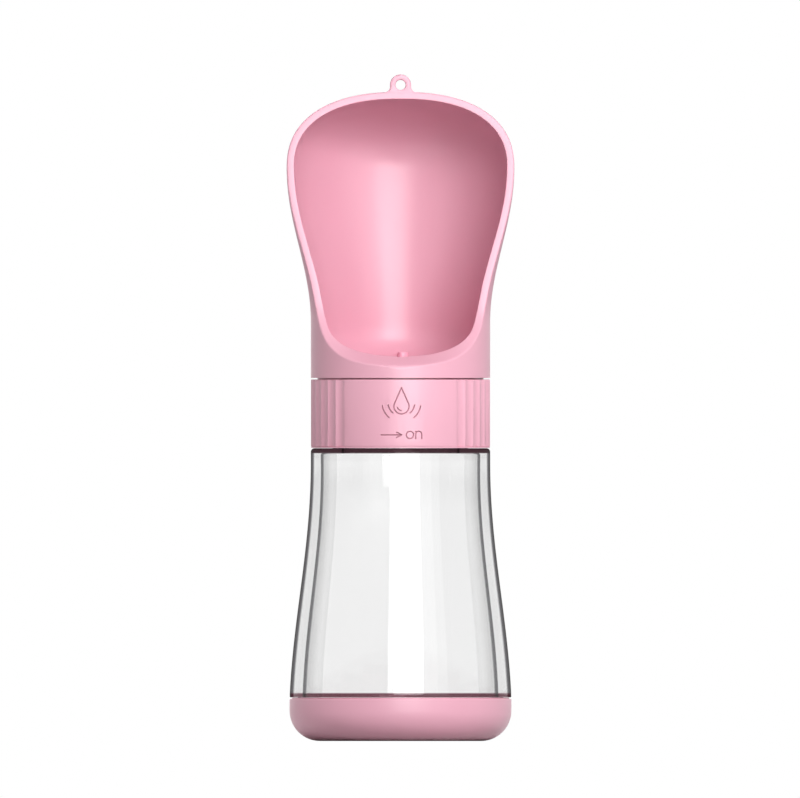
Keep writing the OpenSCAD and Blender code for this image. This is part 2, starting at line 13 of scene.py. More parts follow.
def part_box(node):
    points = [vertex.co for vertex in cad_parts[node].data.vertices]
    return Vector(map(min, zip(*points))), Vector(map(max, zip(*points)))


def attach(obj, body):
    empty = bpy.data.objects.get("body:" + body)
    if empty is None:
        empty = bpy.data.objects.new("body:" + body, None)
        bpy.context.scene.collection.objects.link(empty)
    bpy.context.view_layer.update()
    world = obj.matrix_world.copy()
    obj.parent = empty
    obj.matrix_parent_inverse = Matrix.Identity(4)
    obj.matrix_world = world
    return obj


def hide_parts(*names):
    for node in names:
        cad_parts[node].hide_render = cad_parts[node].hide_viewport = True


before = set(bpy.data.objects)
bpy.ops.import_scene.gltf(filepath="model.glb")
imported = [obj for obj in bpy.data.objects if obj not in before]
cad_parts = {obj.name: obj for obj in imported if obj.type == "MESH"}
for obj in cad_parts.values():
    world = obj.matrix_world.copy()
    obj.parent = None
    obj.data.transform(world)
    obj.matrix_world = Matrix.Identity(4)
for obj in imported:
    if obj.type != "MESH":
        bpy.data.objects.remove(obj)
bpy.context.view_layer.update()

MM = 0.001

# What counts as one spot, a sliver and a straight edge, in metres, and as a scrap, in faces
SAME_SPOT = 1e-6
SLIVER = 2e-6
STRAIGHT = 1e-6
SCRAP_FACES = 12

# Angle between faces, in degrees, from which an edge looks sharp
SHARP_A = 32
BOTTLE_SHARP_A = 9

# ---- sizes in millimetres ----------------------------------------------------------------------


def cad_box_mm(node):
    return [[v / MM for v in corner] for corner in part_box(node)]


BASE_R = cad_box_mm("base_cap")[1][0]
BASE_H = cad_box_mm("base_cap")[1][2]
FOOT_END_Z, NECK_TOP_Z = (corner[2] for corner in cad_box_mm("bottle_body"))
RING_Z, RING_TOP_Z = (corner[2] for corner in cad_box_mm("control_ring"))
FLANGE_R = cad_box_mm("screw_cap")[1][0]
CAP_TOP_Z = cad_box_mm("screw_cap")[1][2]
DECK_Z = cad_box_mm("pivot_washer")[1][2]
FLANGE_H = 1.5
FLANGE_TOP_Z = cad_box_mm("screw_cap")[0][2] + FLANGE_H
SPIGOT_Z = cad_box_mm("valve_gasket")[1][2]
SEAL_Z = cad_box_mm("valve_gasket")[0][2]
LOOP_TOP_Z = cad_box_mm("scoop")[1][2]

SEAM = 0.5
FACE_GAP = 0.05
RUN_GAP = 0.3
SHELL_R = 29.6

# Low lips that close the seams against the clear bottle
SEAL_LIP_W = 0.9
SEAL_LIP_H = 0.42

# Foot cup
BASE_CORNER_R = 10
BASE_WALL = 1.65
BASE_BORE_R = BASE_R - BASE_WALL
BASE_FLOOR = 2.4
BASE_LEDGE_Z = 6.2
LEDGE_INNER_R = 30.3
LEDGE_SLOPE_W = 0.9
LEDGE_SLOPE_H = 1.4

# Clear bottle
BODY_Z = BASE_H + SEAM
SHOULDER_Z = RING_Z - SEAM
WAIST_DROP = 4.6
WAIST_Z = SHOULDER_Z - WAIST_DROP
FLANK_WAVE = 87
FLANK_GAIN = (BASE_R - SHELL_R) / ((1 - math.cos(math.pi * (WAIST_Z - BODY_Z) / FLANK_WAVE)) / 2)
SHOULDER_EDGE_R = 1.2
SHOULDER_T = 1.6
CEILING_Z = SHOULDER_Z - SHOULDER_T
CEILING_CORNER_R = 0.6
FOOT_RIDGE = 0.7
THREAD_GAP = 0.35
FOOT_R = BASE_BORE_R - FOOT_RIDGE - THREAD_GAP
SPIGOT_WALL = 1.3
FOOT_BORE_R = FOOT_R - SPIGOT_WALL
WALL_TOP = 3.05
WALL_FOOT = BASE_R - FOOT_BORE_R
FACETS = 24
NECK_R = 22
NECK_BORE_R = 19.4

# Screw threads: ridge height, pitch, lowest and highest level
STARTS = 2
FOOT_THREAD = (FOOT_RIDGE, 3.0, FOOT_END_Z + 0.9, BASE_H - 0.7)
NECK_THREAD = (1.1, 4.0, SHOULDER_Z + 2.8, NECK_TOP_Z - 2.1)

# Control ring
RING_WALL = 1.9
RING_BORE_R = SHELL_R - RING_WALL
RING_EDGE_R = 0.28
PANEL_HALF_A = 38.5
FLUTES = 13
FLUTE_DEPTH = 0.5
FLUTE_LAND = 0.24
MARK_DEPTH = 0.45
STROKE_W = 0.45
STROKE_FLOOR = 0.3  # width of a stroke's floor as a share of its width at the surface
KEY_ANGLES = (45, 135, 225, 315)
KEY_HALF_A = 4
KEY_REACH = 1.2
LUG_A = 45
LUG_HALF_A = 8
LUG_REACH = 1.8
LUG_DROP = 3

# Scoop
COLLAR_Z = RING_TOP_Z + SEAM
BOWL_HALF_W = 37.6
BOWL_BACK = 33
WIDE_H = 69.2
WIDE_Z = COLLAR_Z + WIDE_H
FLARE_H = 51
DOME_H = 25.3
DOME_POWER = 2.35
BOWL_WALL = 2.4
LIP_H = 4
LIP_Z = COLLAR_Z + LIP_H
LIP_Y = -SHELL_R
FLOOR_H = 6.2
FLOOR_Z = COLLAR_Z + FLOOR_H
FLOOR_T = 2.4
FILLET_W = 8
FILLET_H = 11
RIM_ARC_R = 29.5
RIM_START_A = math.radians(17)
RIM_LEAN = math.radians(9.4)
OUTER_EDGE_R = (0.55, 1.3)  # the rim's soft edges, at the sides and at the front of the lip
INNER_EDGE_R = (0.35, 1.1)
BEND_A = 72  # degrees round from the front at which the rim's lip turns into its flank
APEX_Z = WIDE_Z + DOME_H
SPIGOT_R = RING_BORE_R - RUN_GAP
SPIGOT_RING_WALL = 1.8
SPIGOT_BORE_R = SPIGOT_R - SPIGOT_RING_WALL
POST_R = 4
TENON_R = 3.2
SCREW_HOLE_R = 1.55
SCREW_HOLE_DEPTH = 9.7
OUTLET = (0.8, 22.4)
OUTLET_R = 0.9
OUTLET_WALL_R = 1.7
OUTLET_H = 2.4
OUTLET_TOP_Z = FLOOR_Z + OUTLET_H
LOOP_HOLE_R = 1.65
LOOP_R = 3.5
LOOP_Z = LOOP_TOP_Z - LOOP_R
LOOP_T = 2.4
LOOP_FILLET_R = 2
LOOP_EDGE_R = 0.55
LOOP_FLARE_R = 0.45

# How finely the meshes are cut
LATHE_STEPS = 192
THREAD_STEP_A = 6
FLANK_STEPS = 48
INSIDE_STEPS = 30
CORNER_STEPS = 6
RAY_STEPS = 34
LIP_RAYS = 36
BACK_RAYS = 10
FLANK_RAYS = 22
DOME_STEPS = 84

# ---- mesh helpers ------------------------------------------------------------------------------


def mix(a, b, t):
    return a + (b - a) * t


def make_object(name, points, faces, sharp_a=SHARP_A, slots=None):
    """A closed mesh object from points in millimetres, shaded smooth up to sharp_a degrees."""
    mesh = bpy.data.meshes.new(name)
    mesh.from_pydata([[c * MM for c in p] for p in points], [], faces)
    if slots:
        mesh.polygons.foreach_set("material_index", slots)
    bm = bmesh.new()
    bm.from_mesh(mesh)
    bmesh.ops.remove_doubles(bm, verts=bm.verts, dist=SAME_SPOT)
    open_edges = [e for e in bm.edges if e.is_boundary]
    if open_edges:
        bmesh.ops.holes_fill(bm, edges=open_edges, sides=0)
    bmesh.ops.recalc_face_normals(bm, faces=bm.faces)
    bm.to_mesh(mesh)
    bm.free()
    obj = bpy.data.objects.new(name, mesh)
    bpy.context.collection.objects.link(obj)
    shade(obj, sharp_a)
    return obj


def shade(obj, sharp_a):
    """Smooth shading, but for the edges where faces meet at more than sharp_a degrees."""
    mesh = obj.data
    mesh.polygons.foreach_set("use_smooth", [True] * len(mesh.polygons))
    mesh.set_sharp_from_angle(angle=math.radians(sharp_a))


def on_straight_edge(vert):
    """Whether a corner has two edges alone, which run on in one line."""
    if len(vert.link_edges) != 2:
        return False
    a, b = (edge.other_vert(vert).co for edge in vert.link_edges)
    along = b - a
    return along.length > 0 and along.cross(vert.co - a).length / along.length < STRAIGHT


def scraps(bm):
    """Faces of the loose pieces that are too small to be a part of the shape."""
    seen, found = set(), []
    for face in bm.faces:
        if face in seen:
            continue
        seen.add(face)
        island = [face]
        for member in island:
            for edge in member.edges:
                for other in edge.link_faces:
                    if other not in seen:
                        seen.add(other)
                        island.append(other)
        if len(island) <= SCRAP_FACES:
            found += island
    return found


def tidy_mesh(mesh):
    """Takes out what a boolean leaves: slivers, corners on straight edges and loose scraps."""
    bm = bmesh.new()
    bm.from_mesh(mesh)
    bmesh.ops.remove_doubles(bm, verts=bm.verts, dist=SLIVER)
    bmesh.ops.dissolve_degenerate(bm, edges=bm.edges, dist=SLIVER)
    bmesh.ops.dissolve_verts(bm, verts=[v for v in bm.verts if on_straight_edge(v)])
    bmesh.ops.delete(bm, geom=scraps(bm), context="FACES")
    bm.to_mesh(mesh)
    bm.free()


def carve(obj, operation, tools, sharp_a=SHARP_A):
    """Boolean with each tool in turn. The tools are used up."""
    for tool in tools:
        step = obj.modifiers.new("carve", "BOOLEAN")
        step.operation = operation
        step.solver = "MANIFOLD"
        step.object = tool
    bpy.context.view_layer.update()
    graph = bpy.context.evaluated_depsgraph_get()
    result = bpy.data.meshes.new_from_object(obj.evaluated_get(graph))
    obj.modifiers.clear()
    tidy_mesh(result)
    name = obj.data.name
    old, obj.data = obj.data, result
    bpy.data.meshes.remove(old)
    result.name = name
    for tool in tools:
        bpy.data.meshes.remove(tool.data)
    shade(obj, sharp_a)
    return obj


def rounded(outline, closed=False, steps=5):
    """Outline whose corners with a third value are rounded to that radius."""
    count = len(outline)
    out = []
    for i, corner in enumerate(outline):
        x, y = corner[:2]
        if len(corner) < 3 or (not closed and i in (0, count - 1)):
            out.append((x, y))
            continue
        to_last = Vector(outline[i - 1][:2]) - Vector((x, y))
        to_next = Vector(outline[(i + 1) % count][:2]) - Vector((x, y))
        radius = corner[2]
        half = to_last.angle(to_next) / 2
        reach = radius / math.tan(half)
        to_last.normalize()
        to_next.normalize()
        middle = Vector((x, y)) + (to_last + to_next).normalized() * radius / math.sin(half)
        start = Vector((x, y)) + to_last * reach - middle
        turn = start.angle_signed(Vector((x, y)) + to_next * reach - middle)
        a0 = math.atan2(start.y, start.x)
        for k in range(steps + 1):
            a = a0 - turn * k / steps
            out.append((middle.x + radius * math.cos(a), middle.y + radius * math.sin(a)))
    return out


def lathe(name, outline, closed=False, steps=LATHE_STEPS, sharp_a=SHARP_A):
    """Turns an outline of (radius, z) round the axis. An open outline starts and ends on the axis."""
    points, rings, faces = [], [], []
    for r, z in outline:
        count = 1 if r < 1e-6 else steps
        rings.append(range(len(points), len(points) + count))
        for k in range(count):
            a = 2 * math.pi * k / steps
            points.append((r * math.cos(a), r * math.sin(a), z))
    pairs = list(zip(rings, rings[1:]))
    if closed:
        pairs.append((rings[-1], rings[0]))
    for low, high in pairs:
        for k in range(steps):
            quad = [low[k % len(low)], low[(k + 1) % len(low)]]
            quad += [high[(k + 1) % len(high)], high[k % len(high)]]
            face = list(dict.fromkeys(quad))
            if len(face) > 2:
                faces.append(face)
    return make_object(name, points, faces, sharp_a)


def disc(name, r, z0, z1, x=0, y=0, steps=48):
    """A solid upright cylinder."""
    obj = lathe(name, [(0, z0), (r, z0), (r, z1), (0, z1)], steps=steps)
    obj.data.transform(Matrix.Translation((x * MM, y * MM, 0)))
    return obj


def loft(name, rows):
    """Skin over rows of equally many points, closed round each row and capped at both ends."""
    n = len(rows[0])
    points = [p for row in rows for p in row]
    faces = [list(range(n)), [(len(rows) - 1) * n + k for k in reversed(range(n))]]
    for i in range(len(rows) - 1):
        for k in range(n):
            a, b = i * n + k, i * n + (k + 1) % n
            faces.append([a, b, b + n, a + n])
    return make_object(name, points, faces)


def thread(root_r, side, ridge, pitch, z0, z1):
    """The ridges of a screw, side 1, or of its nut, side -1, as one object each."""
    root_w, crest_w = 0.47 * pitch, 0.2 * pitch
    sunk, soft, run_in = 0.4, 0.12, 4  # the run-in is a count of steps
    lead = pitch * STARTS
    offset = 0 if side > 0 else pitch / 2
    base_z = z0 + root_w / 2 + offset
    steps = int((z1 - z0 - root_w - offset) / lead * 360 / THREAD_STEP_A)
    ridges = []
    for start in range(STARTS):
        rows = []
        for i in range(steps + 1):
            a = math.radians(360 * start / STARTS + i * THREAD_STEP_A)
            z = base_z + lead * i * THREAD_STEP_A / 360
            grown = min(1, i / run_in, (steps - i) / run_in)
            crest_r = root_r + side * (ridge * grown - 0.1 * (1 - grown))
            soft_r = crest_r - side * 0.2 * ridge * grown
            sunk_r = root_r - side * sunk
            section = [
                (sunk_r, -root_w / 2), (soft_r, -crest_w / 2 - soft), (crest_r, -crest_w / 2 + soft),
                (crest_r, crest_w / 2 - soft), (soft_r, crest_w / 2 + soft), (sunk_r, root_w / 2),
            ]
            rows.append([(r * math.cos(a), r * math.sin(a), z + dz) for r, dz in section])
        ridges.append(loft("ridge", rows))
    return ridges


# ---- materials ---------------------------------------------------------------------------------


def linear(*srgb):
    """Linear colour from sRGB values of 0 to 255."""
    return [v / 255 / 12.92 if v <= 10 else ((v / 255 + 0.055) / 1.055) ** 2.4 for v in srgb] + [1]


PINK = (linear(233, 171, 190), linear(237, 177, 195))
# Painted shade: a darker pink for the bowl's inside
BOWL_PAINTED_SHADE = (linear(218, 158, 176), linear(222, 163, 180))
# Painted shade: a darker, greyer pink for the engraved strokes' recesses
MARK_PAINTED_SHADE = (linear(196, 140, 156), linear(202, 146, 162))

# What the clear plastic does to what is behind it, from a wall met head on to one met edge on
PANE = linear(251, 251, 251)
STEEP_PANE = linear(245, 245, 245)
SIDE_WALL = linear(239, 239, 239)
EDGE_WALL = linear(190, 190, 192)
# Painted shade: dark pinks for the shaded pink parts seen through the solid shoulder and the foot's thick
# edge
TOP_BAND_PAINTED_SHADE = linear(135, 113, 120)
FOOT_BAND_PAINTED_SHADE = linear(163, 122, 135)
WHITE = linear(255, 255, 255)
DULL_GLOSS = linear(80, 76, 77)


class Nodes:
    """Short calls for a material's node tree, on object coordinates in metres."""

    def __init__(self, name):
        self.material = bpy.data.materials.new(name)
        self.material.use_nodes = True
        self.tree = self.material.node_tree
        self.tree.nodes.clear()
        self.output = self.add("ShaderNodeOutputMaterial")
        self.place = self.add("ShaderNodeTexCoord").outputs["Object"]

    def add(self, kind, values=None, **settings):
        node = self.tree.nodes.new(kind)
        for key, value in settings.items():
            setattr(node, key, value)
        for key, value in (values or {}).items():
            socket = node.inputs[key]
            if isinstance(value, bpy.types.NodeSocket):
                self.tree.links.new(value, socket)
            else:
                socket.default_value = value
        return node

    def noise(self, scale, detail=3, stretch=(1, 1, 1)):
        spot = self.add("ShaderNodeMapping", {"Vector": self.place, "Scale": stretch}).outputs[0]
        return self.add("ShaderNodeTexNoise", {"Vector": spot, "Scale": scale, "Detail": detail}).outputs[0]

    def ramp(self, source, low, high):
        """Spreads a source of 0 to 1 over low to high."""
        return self.add("ShaderNodeMapRange", {"Value": source, "To Min": low, "To Max": high}).outputs[0]

    def rise(self, source, start, end):
        """Goes from 0 to 1 while the source goes from start to end."""
        values = {"Value": source, "From Min": start, "From Max": end}
        return self.add("ShaderNodeMapRange", values).outputs[0]

    def rise_mm(self, source, start, end):
        return self.rise(source, start * MM, end * MM)

    def number(self, operation, a, b):
        return self.add("ShaderNodeMath", {0: a, 1: b}, operation=operation).outputs[0]

    def both(self, a, b):
        return self.number("MULTIPLY", a, b)

    def vector(self, operation, *values, output=0):
        node = self.add("ShaderNodeVectorMath", dict(enumerate(values)), operation=operation)
        return node.outputs[output]

    def from_axis(self):
        """Place without its height."""
        return self.vector("MULTIPLY", self.place, (1, 1, 0))

    def in_world(self, normal):
        node = self.add(
            "ShaderNodeVectorTransform", {"Vector": normal}, vector_type="NORMAL", convert_from="OBJECT",
            convert_to="WORLD",
        )
        return node.outputs[0]

    def facing(self, **normal):
        """0 where the surface, or the normal given, points at the viewer, and 1 at right angles."""
        return self.add("ShaderNodeLayerWeight", {"Blend": 0.5, **normal}).outputs["Facing"]

    def blend(self, source, color_a, color_b):
        node = self.add("ShaderNodeMix", data_type="RGBA")
        self.tree.links.new(source, node.inputs["Factor"])
        for name, value in (("A", color_a), ("B", color_b)):
            socket = [s for s in node.inputs if s.name == name and s.type == "RGBA"][0]
            if isinstance(value, bpy.types.NodeSocket):
                self.tree.links.new(value, socket)
            else:
                socket.default_value = value
        return [s for s in node.outputs if s.type == "RGBA"][0]

    def bump(self, height, depth):
        return self.add("ShaderNodeBump", {"Height": height, "Distance": depth}).outputs[0]

    def finish(self, shader):
        self.tree.links.new(shader, self.output.inputs["Surface"])
        return self.material


def moulded_plastic(name, color_a, color_b, rough=(0.30, 0.37)):
    """Satin moulded plastic: faint flow clouds in its colour, and a fine spark-eroded grain."""
    t = Nodes(name)
    clouds = t.noise(45, 2, (1, 1, 0.5))
    grain = t.noise(5200, 2)
    shader = t.add(
        "ShaderNodeBsdfPrincipled",
        {
            "Base Color": t.blend(clouds, color_a, color_b),
            "Roughness": t.ramp(t.noise(260, 3), *rough),
            "Normal": t.bump(grain, 2.5e-6),
            "Specular IOR Level": 0.5,
            "IOR": 1.49,
        },
    )
    return t.finish(shader.outputs[0])


def silicone(name):
    """Matt, slightly milky rubber."""
    t = Nodes(name)
    shader = t.add(
        "ShaderNodeBsdfPrincipled",
        {
            "Base Color": t.blend(t.noise(400, 3), linear(226, 222, 222), linear(238, 235, 235)),
            "Roughness": t.ramp(t.noise(900, 2), 0.5, 0.62),
            "Normal": t.bump(t.noise(3800, 2), 4e-6),
            "Subsurface Weight": 0.15,
            "Subsurface Scale": 0.001,
        },
    )
    return t.finish(shader.outputs[0])


def steel(name):
    """Bright steel with fine turned lines."""
    t = Nodes(name)
    turned = t.noise(1500, 2, (1, 1, 12))
    shader = t.add(
        "ShaderNodeBsdfPrincipled",
        {
            "Base Color": t.blend(turned, linear(176, 177, 180), linear(205, 206, 208)),
            "Metallic": 1.0,
            "Roughness": t.ramp(turned, 0.2, 0.34),
            "Normal": t.bump(turned, 3e-6),
        },
    )
    return t.finish(shader.outputs[0])


def round_normal(t):
    """Normal of the round wall that a facet stands in for, in the world's axes."""
    normal = t.add("ShaderNodeTexCoord").outputs["Normal"]
    outward = t.vector("NORMALIZE", t.from_axis())
    share = t.vector("DOT_PRODUCT", normal, outward, output="Value")
    across = t.add("ShaderNodeVectorMath", {0: outward, "Scale": share}, operation="SCALE").outputs[0]
    upright = t.vector("MULTIPLY", normal, (0, 0, 1))
    return t.vector("NORMALIZE", t.in_world(t.vector("ADD", across, upright)))


def clear_plastic(name):
    """Clear copolyester: what is behind shows through, darker where the wall is seen edge on.

    Dark pink bands set by height on the solid shoulder and the thick edge at the foot are painted shade,
    standing for the shaded pink parts beside them.
    """
    t = Nodes(name)
    facing = t.facing()
    wall_facing = t.facing(Normal=round_normal(t))
    # The dark edge and the two bands of painted shade fade where the bottle is seen from high above or from
    # below
    level = t.rise(t.facing(Normal=t.in_world((0, 0, 1))), 0.25, 0.65)
    edge_on = t.both(t.rise(wall_facing, 0.71, 0.77), level)
    pane = t.blend(t.rise(facing, 0.38, 0.48), PANE, STEEP_PANE)
    wall = t.blend(edge_on, t.blend(t.rise(wall_facing, 0.48, 0.58), pane, SIDE_WALL), EDGE_WALL)

    height = t.add("ShaderNodeSeparateXYZ", {"Vector": t.place}).outputs["Z"]
    radius = t.vector("LENGTH", t.from_axis(), output="Value")
    # Two bands of painted shade by height and radius: under the shoulder and just above the foot
    painted_shade_bands = []
    for start, end, from_r in (
        (CEILING_Z - 0.15, CEILING_Z + 0.15, SHELL_R - 1.6), (BODY_Z + 1.6, BODY_Z + 1.1, BASE_R - 1.5),
    ):
        beside = t.both(t.rise_mm(height, start, end), t.rise_mm(radius, from_r, from_r + 0.5))
        painted_shade_bands.append(t.both(beside, level))
    top, foot = painted_shade_bands
    top = t.both(top, t.rise_mm(height, SHOULDER_Z - 0.02, SHOULDER_Z - 0.08))
    tint = t.blend(foot, t.blend(top, wall, TOP_BAND_PAINTED_SHADE), FOOT_BAND_PAINTED_SHADE)
    through = t.add("ShaderNodeBsdfTransparent", {"Color": tint}).outputs[0]

    # The gloss is dulled on the edge-on wall and on the painted shade under the shoulder
    gloss = t.add(
        "ShaderNodeBsdfGlossy",
        {
            "Color": t.blend(t.number("MAXIMUM", edge_on, top), WHITE, DULL_GLOSS),
            "Roughness": t.ramp(t.noise(60, 2), 0.02, 0.05),
            "Normal": t.bump(t.noise(90, 2), 2e-6),
        },
    ).outputs[0]
    # Schlick's rule for how much a clear plastic mirrors
    mirror = t.ramp(t.number("POWER", facing, 5.0), 0.04, 1)
    shader = t.add("ShaderNodeMixShader", {0: mirror, 1: through, 2: gloss})
    return t.finish(shader.outputs[0])


def dress(obj, *materials):
    """Puts materials on the object's slots, and leaves which face has which slot as it is."""
    slots = obj.data.materials
    for i, material in enumerate(materials):
        if i < len(slots):
            slots[i] = material
        else:
            slots.append(material)
    while len(slots) > len(materials):
        slots.pop()


# ---- foot cup ----------------------------------------------------------------------------------


def base_cup():
    """Foot cup with its inside thread."""
    outline = rounded([
        (0, 0), (BASE_R, 0, BASE_CORNER_R), (BASE_R, BASE_H, 0.35), (BASE_BORE_R + SEAL_LIP_W, BASE_H),
        (BASE_BORE_R + SEAL_LIP_W, BASE_H + SEAL_LIP_H), (BASE_BORE_R, BASE_H + SEAL_LIP_H),
        (BASE_BORE_R, BASE_LEDGE_Z + LEDGE_SLOPE_H), (BASE_BORE_R - LEDGE_SLOPE_W, BASE_LEDGE_Z),
        (LEDGE_INNER_R, BASE_LEDGE_Z, 0.4), (LEDGE_INNER_R, BASE_FLOOR, 1.2), (0, BASE_FLOOR),
    ], steps=14)
    cup = lathe("foot_cup", outline)
    carve(cup, "UNION", thread(BASE_BORE_R, -1, *FOOT_THREAD))
    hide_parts("base_cap")
    return cup


# ---- clear bottle ------------------------------------------------------------------------------


def flank_r(z):
    """Outside radius of the clear bottle at a height."""
    if z > WAIST_Z:
        return SHELL_R
    return SHELL_R + FLANK_GAIN * (1 - math.cos(math.pi * (WAIST_Z - z) / FLANK_WAVE)) / 2


def inside_r(z):
    """Radius to the corners between the facets inside, at a height."""
    return flank_r(z) - mix(WALL_FOOT, WALL_TOP, (z - BODY_Z) / (CEILING_Z - BODY_Z))


def heights(low, high, steps):
    return [mix(low, high, i / steps) for i in range(1, steps + 1)]


def bottle():
    """Clear bottle: round outside, flat facets inside, with a thread at its foot and on its neck."""
    flank = [(flank_r(z), z) for z in heights(BODY_Z, WAIST_Z, FLANK_STEPS)]
    outer = rounded([
        (0, FOOT_END_Z), (FOOT_R, FOOT_END_Z, 0.3), (FOOT_R, BODY_Z), (BASE_R - 0.05, BODY_Z, 0.3),
        *flank, (SHELL_R, SHOULDER_Z, SHOULDER_EDGE_R), (NECK_R, SHOULDER_Z, 0.5),
        (NECK_R, NECK_TOP_Z, 0.3), (0, NECK_TOP_Z),
    ], steps=8)
    body = lathe("clear_bottle", outer, sharp_a=BOTTLE_SHARP_A)

    corner = CEILING_CORNER_R
    last_z = CEILING_Z - corner
    levels = [(FOOT_END_Z - 1, FOOT_BORE_R), (BODY_Z, FOOT_BORE_R)]
    levels += [(z, inside_r(z)) for z in heights(BODY_Z, last_z, INSIDE_STEPS)]
    for k in range(1, CORNER_STEPS + 1):
        a = math.pi / 2 * k / CORNER_STEPS
        levels.append((last_z + corner * math.sin(a), inside_r(last_z) - corner * (1 - math.cos(a))))
    rows = []
    for z, r in levels:
        angles = [2 * math.pi * (k + 0.5) / FACETS for k in range(FACETS)]
        rows.append([(r * math.cos(a), r * math.sin(a), z) for a in angles])
    inside = loft("inside", rows)
    mouth = disc("mouth", NECK_BORE_R, CEILING_Z - 1, NECK_TOP_Z + 1, steps=96)
    carve(body, "DIFFERENCE", [inside, mouth])
    ridges = thread(FOOT_R, 1, *FOOT_THREAD) + thread(NECK_R, 1, *NECK_THREAD)
    carve(body, "UNION", ridges, sharp_a=BOTTLE_SHARP_A)
    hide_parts("bottle_body")
    return body


# ---- control ring ------------------------------------------------------------------------------


def ring_outline():
    """Outer radius of the ring as (angle in degrees, radius), once round from the front."""
    pitch_a = (180 - 2 * PANEL_HALF_A) / FLUTES
    half_w = SHELL_R * math.sin(math.radians(pitch_a / 2)) - FLUTE_LAND / 2
    depth = FLUTE_DEPTH - SHELL_R * (1 - math.cos(math.radians(pitch_a / 2)))
    flute_r = (half_w ** 2 + depth ** 2) / (2 * depth)
    middle_r = SHELL_R - FLUTE_DEPTH + flute_r
    half_a = math.degrees(math.asin(half_w / SHELL_R))
    samples = []
    for side in (0, 180):
        samples += [(side + a, SHELL_R) for a in range(-36, 38, 2)]
        for k in range(FLUTES):
            centre_a = side + PANEL_HALF_A + (k + 0.5) * pitch_a
            samples.append((centre_a - half_a - 0.1, SHELL_R))
            for j in range(-5, 6):
                a = half_a * j / 5
                across = middle_r * math.sin(math.radians(a))
                r = middle_r * math.cos(math.radians(a)) - math.sqrt(max(0, flute_r ** 2 - across ** 2))
                samples.append((centre_a + a, min(SHELL_R, r)))
            samples.append((centre_a + half_a + 0.1, SHELL_R))
    return [(a - 90, r) for a, r in samples]


def groove(path):
    """Cutter for an engraved stroke along (x, z) points on the front of the ring."""
    half = STROKE_W / 2
    cap_steps = 4
    pairs = []
    count = len(path)
    for i, (x, z) in enumerate(path):
        before = Vector(path[max(i - 1, 0)])
        along = (Vector(path[min(i + 1, count - 1)]) - before).normalized()
        across = Vector((-along.y, along.x))
        here = Vector((x, z))
        if i == 0:
            for k in range(cap_steps):
                a = math.pi / 2 * k / cap_steps
                spot = here - along * half * math.cos(a)
                pairs.append((spot + across * half * math.sin(a), spot - across * half * math.sin(a)))
        pairs.append((here + across * half, here - across * half))
        if i == count - 1:
            for k in range(cap_steps):
                a = math.pi / 2 * (k + 1) / cap_steps
                spot = here + along * half * math.sin(a)
                pairs.append((spot + across * half * math.cos(a), spot - across * half * math.cos(a)))
    rows = []
    for left, right in pairs:
        middle = (left + right) / 2
        floor_left, floor_right = middle.lerp(left, STROKE_FLOOR), middle.lerp(right, STROKE_FLOOR)
        row = []
        for p, r in ((left, SHELL_R + 0.5), (right, SHELL_R + 0.5), (right, SHELL_R),
                     (floor_right, SHELL_R - MARK_DEPTH), (floor_left, SHELL_R - MARK_DEPTH),
                     (left, SHELL_R)):
            row.append((p.x, -math.sqrt(r * r - p.x * p.x), p.y))
        rows.append(row)
    return loft("groove", rows)


def line(p, q, steps=8):
    """Points from p to q."""
    return [(mix(p[0], q[0], k / steps), mix(p[1], q[1], k / steps)) for k in range(steps + 1)]


def bow(x, z, r, a0, a1, steps=16):
    """Points on an arc round (x, z), between two angles in degrees."""
    angles = [math.radians(mix(a0, a1, k / steps)) for k in range(steps + 1)]
    return [(x + r * math.cos(a), z + r * math.sin(a)) for a in angles]


def mark_paths():
    """Strokes of the water sign, the arrow and the word on."""
    x, z = 0.3, RING_Z + 0.6 * (RING_TOP_Z - RING_Z)
    drop_r, tip_h = 2.5, 6.2
    tangent = math.degrees(math.acos(drop_r / tip_h))
    paths = [bow(x, z, drop_r, 90 + tangent, 450 - tangent, 28), bow(x, z, 0.55 * drop_r, 195, 265)]
    for side in (-1, 1):
        a = math.radians(90 - side * tangent)
        paths.append(line((x, z + tip_h), (x + drop_r * math.cos(a), z + drop_r * math.sin(a))))
        for r in (4.4, 6.4):
            paths.append(bow(x, z + 1.2, r, *((-50, -10) if side > 0 else (190, 230))))
    x, z, x_height, barb = -3, RING_Z + 3.9, 2.4, 1.9
    tip = (x + 3.4, z)
    paths.append(line((x - 3.4, z), tip))
    for side in (-1, 1):
        a = math.radians(28)
        paths.append(line(tip, (tip[0] - barb * math.cos(a), z + side * barb * math.sin(a))))
    paths += [bow(x + 6.1, z, x_height / 2, 0, 182), bow(x + 6.1, z, x_height / 2, 178, 362)]
    top = z + x_height / 2
    paths.append(line((x + 8, z - x_height / 2), (x + 8, top)))
    paths.append(line((x + 10, z - x_height / 2), (x + 10, top - 1)) + bow(x + 9, top - 1, 1, 0, 180)[1:])
    return paths


def block(z0, z1, r0, r1, middle_a, half_a, steps=8):
    """A piece of a ring, round an angle in degrees."""
    section = ((r0, z0), (r1, z0), (r1, z1), (r0, z1))
    rows = []
    for k in range(steps + 1):
        a = math.radians(mix(middle_a - half_a, middle_a + half_a, k / steps))
        rows.append([(r * math.cos(a), r * math.sin(a), z) for r, z in section])
    return loft("block", rows)


